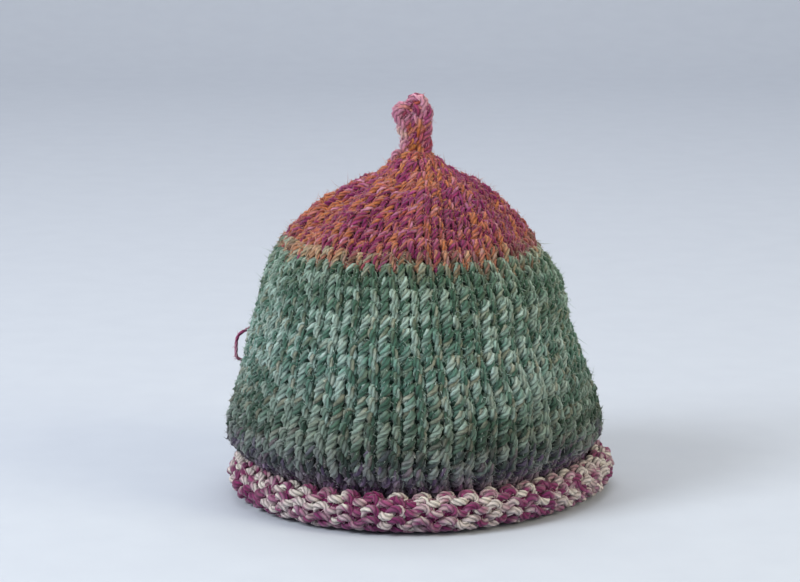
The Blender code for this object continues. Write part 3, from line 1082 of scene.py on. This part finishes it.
def fibres(name, pool, many, longest, thick_root, bent):
    """Closed spikes at random places on a pool of strands."""
    chosen = rng.integers(0, sum(len(p[0]) for p in pool), many)
    path, facing, thick, course, ahead = (np.concatenate([p[i] for p in pool])[chosen] for i in range(5))
    ahead = ahead / (np.linalg.norm(ahead, axis=1, keepdims=True) + 1e-9)
    up = facing - (facing * ahead).sum(1, keepdims=True) * ahead
    up /= np.linalg.norm(up, axis=1, keepdims=True) + 1e-9
    across = np.cross(ahead, up)
    turn = rng.uniform(-1.5, 1.5, many)[:, None]
    out = np.cos(turn) * up + np.sin(turn) * across
    aside = -np.sin(turn) * up + np.cos(turn) * across
    slant = rng.normal(0, 0.7, many)[:, None]
    lift = rng.uniform(0.15, 0.95, many)[:, None]
    way = rng.choice([-1.0, 1.0], many)[:, None]
    heading = out * lift + (ahead * np.cos(slant) * way + aside * np.sin(slant)) * (1.1 - lift)
    bend = rng.normal(0, 0.35, (many, 3)) if bent else np.zeros((many, 3))
    long = rng.uniform(0.4, 1.0, many)[:, None] ** 1.5 * longest
    start = path + out * (thick * 0.92)[:, None]
    rings = 2 if bent else 1
    corners = []
    for ring in range(rings):
        share = ring * 0.55
        for corner in range(3):
            angle = 2 * np.pi * corner / 3
            spread = thick_root * (1 - 0.3 * ring) * (np.cos(angle) * out + np.sin(angle) * aside)
            corners.append(start + long * (heading * share + bend * share**2) + spread)
    corners.append(start + long * (heading + bend))
    points = np.stack(corners, 1)
    size = points.shape[1]
    first = np.arange(many)[:, None] * size
    threes = [first + [2, 1, 0]]
    fours = []
    for corner in range(3):
        following = (corner + 1) % 3
        if bent:
            fours.append(first + [corner, following, following + 3, corner + 3])
        threes.append(first + [corner + size - 4, following + size - 4, size - 1])
    faces = [np.concatenate(threes)]
    if bent:
        faces.append(np.concatenate(fours))
    along_yarn = rng.uniform(0, YARN_PLACES, many)
    plies = (rng.integers(0, PLIES, many) + 0.5) / PLIES
    per_point = np.stack([np.repeat(plies, size), np.repeat(along_yarn, size)], 1)
    uvs = per_point[np.concatenate([part.ravel() for part in faces])]
    points = above_floor(points.reshape(-1, 3))
    return wool_piece(name, points, faces, uvs, np.repeat(course, size), loose_wool)


# %% Growing the fibres on the strands
LOOP_FROM = LOOP_COURSE - 1.3
HIGH_COURSE = 26.9
cosy_strands = [s for s in strands if s[3].max() < LOOP_FROM]
loop_strands = [s for s in strands if s[3].max() >= LOOP_FROM]
low_strands = [s for s in cosy_strands if s[3].mean() < HIGH_COURSE]
high_strands = [s for s in cosy_strands if s[3].mean() >= HIGH_COURSE]
cosy_fuzz = fibres("cosy_fuzz", low_strands, 40000, 3.8, 0.27, False)
crown_fuzz = fibres("crown_fuzz", high_strands, 12000, 3.8, 0.27, False)
loop_fuzz = fibres("loop_fuzz", loop_strands, 1400, 3.0, 0.25, False)
green_hairs = fibres("cosy_hairs", low_strands, 6400, 6.0, 0.17, True)
crown_hairs = fibres("crown_hairs", high_strands, 2000, 6.0, 0.17, True)
loop_hairs = fibres("loop_hairs", loop_strands, 260, 3.6, 0.15, True)

# %% [markdown]
# ## Floor, light and camera
# A pale sweep with no corner keeps the eye on the wool. Large soft lights from both sides give the even, dull
# light that wool needs, since small lights would make hard specks on the fibres. The left one is stronger and
# cooler, like a window, and a long lamp behind lights only the backdrop.

# %% The pale sweep
sweep_profile = [(-3.0, 0.0), (1.8, 0.0)]
for step in range(1, 13):
    bend = math.radians(90 * step / 12)
    sweep_profile.append((1.8 + 0.9 * math.sin(bend), 0.9 - 0.9 * math.cos(bend)))
sweep_profile.append((2.7, 3.4))
sweep_points = [(x, y, z) for y, z in sweep_profile for x in (-4.0, 4.0)]
sweep_faces = [(2 * i, 2 * i + 1, 2 * i + 3, 2 * i + 2) for i in range(len(sweep_profile) - 1)]
sweep_mesh = bpy.data.meshes.new("pale_sweep")
sweep_mesh.from_pydata(sweep_points, [], sweep_faces)
for face in sweep_mesh.polygons:
    face.use_smooth = True
sweep = bpy.data.objects.new("pale_sweep", sweep_mesh)
bpy.context.scene.collection.objects.link(sweep)
paper = Wool("pale_paper", roughness=0.9, sheen=0.0)
paper_place = paper.nodes.new("ShaderNodeTexCoord")
grain = paper.noise(paper_place.outputs["Object"], 40.0, 3.0)
paper.join(
    paper.mix(grain, dyed(190, 196, 208), dyed(196, 202, 213)), paper.shader.inputs["Base Color"]
)
sweep_mesh.materials.append(paper.material)

# %% Soft lights


def soft_light(name, place, aim, size, power, colour):
    lamp = bpy.data.lights.new(name, "AREA")
    lamp.shape = "RECTANGLE"
    lamp.size, lamp.size_y = size
    lamp.energy = power
    lamp.color = colour
    light = bpy.data.objects.new(name, lamp)
    light.location = place
    bpy.context.scene.collection.objects.link(light)
    way = np.array(aim) - np.array(place)
    yaw = math.atan2(way[1], way[0]) - math.pi / 2
    pitch = math.atan2(way[2], math.hypot(way[0], way[1]))
    light.rotation_euler = (pitch + math.pi / 2, 0.0, yaw)
    return light


soft_light("left_window", (-1.45, -0.95, 1.3), (0, 0, 0.10), (0.9, 0.9), 35.0, (0.95, 0.99, 1.0))
soft_light("right_window", (1.4, -0.75, 0.9), (0, 0, 0.10), (0.9, 0.9), 14.0, (1.0, 0.92, 0.66))
soft_light("ceiling", (0.0, 0.3, 1.6), (0, 0, 0.05), (1.4, 1.4), 9.0, (1.0, 0.99, 0.97))
soft_light("backdrop", (0.0, 1.3, 2.6), (0, 2.4, 0.6), (2.4, 0.5), 17.0, (0.98, 0.99, 1.0))
world = bpy.data.worlds.new("room_light")
world.use_nodes = True
world.node_tree.nodes["Background"].inputs["Color"].default_value = (0.84, 0.86, 0.90, 1.0)
world.node_tree.nodes["Background"].inputs["Strength"].default_value = 0.45
bpy.context.scene.world = world

# %% Camera
lens = bpy.data.cameras.new("camera")
lens.sensor_width = 36.0
lens.lens = 135.0
camera = bpy.data.objects.new("camera", lens)
camera.location = (-0.0103, -1.44, 0.365)
camera.rotation_euler = (math.radians(90 - 10.42), 0.0, 0.0)
bpy.context.scene.collection.objects.link(camera)
bpy.context.scene.camera = camera
bpy.context.scene.view_settings.view_transform = "Standard"
print("camera at", tuple(round(v, 3) for v in camera.location))
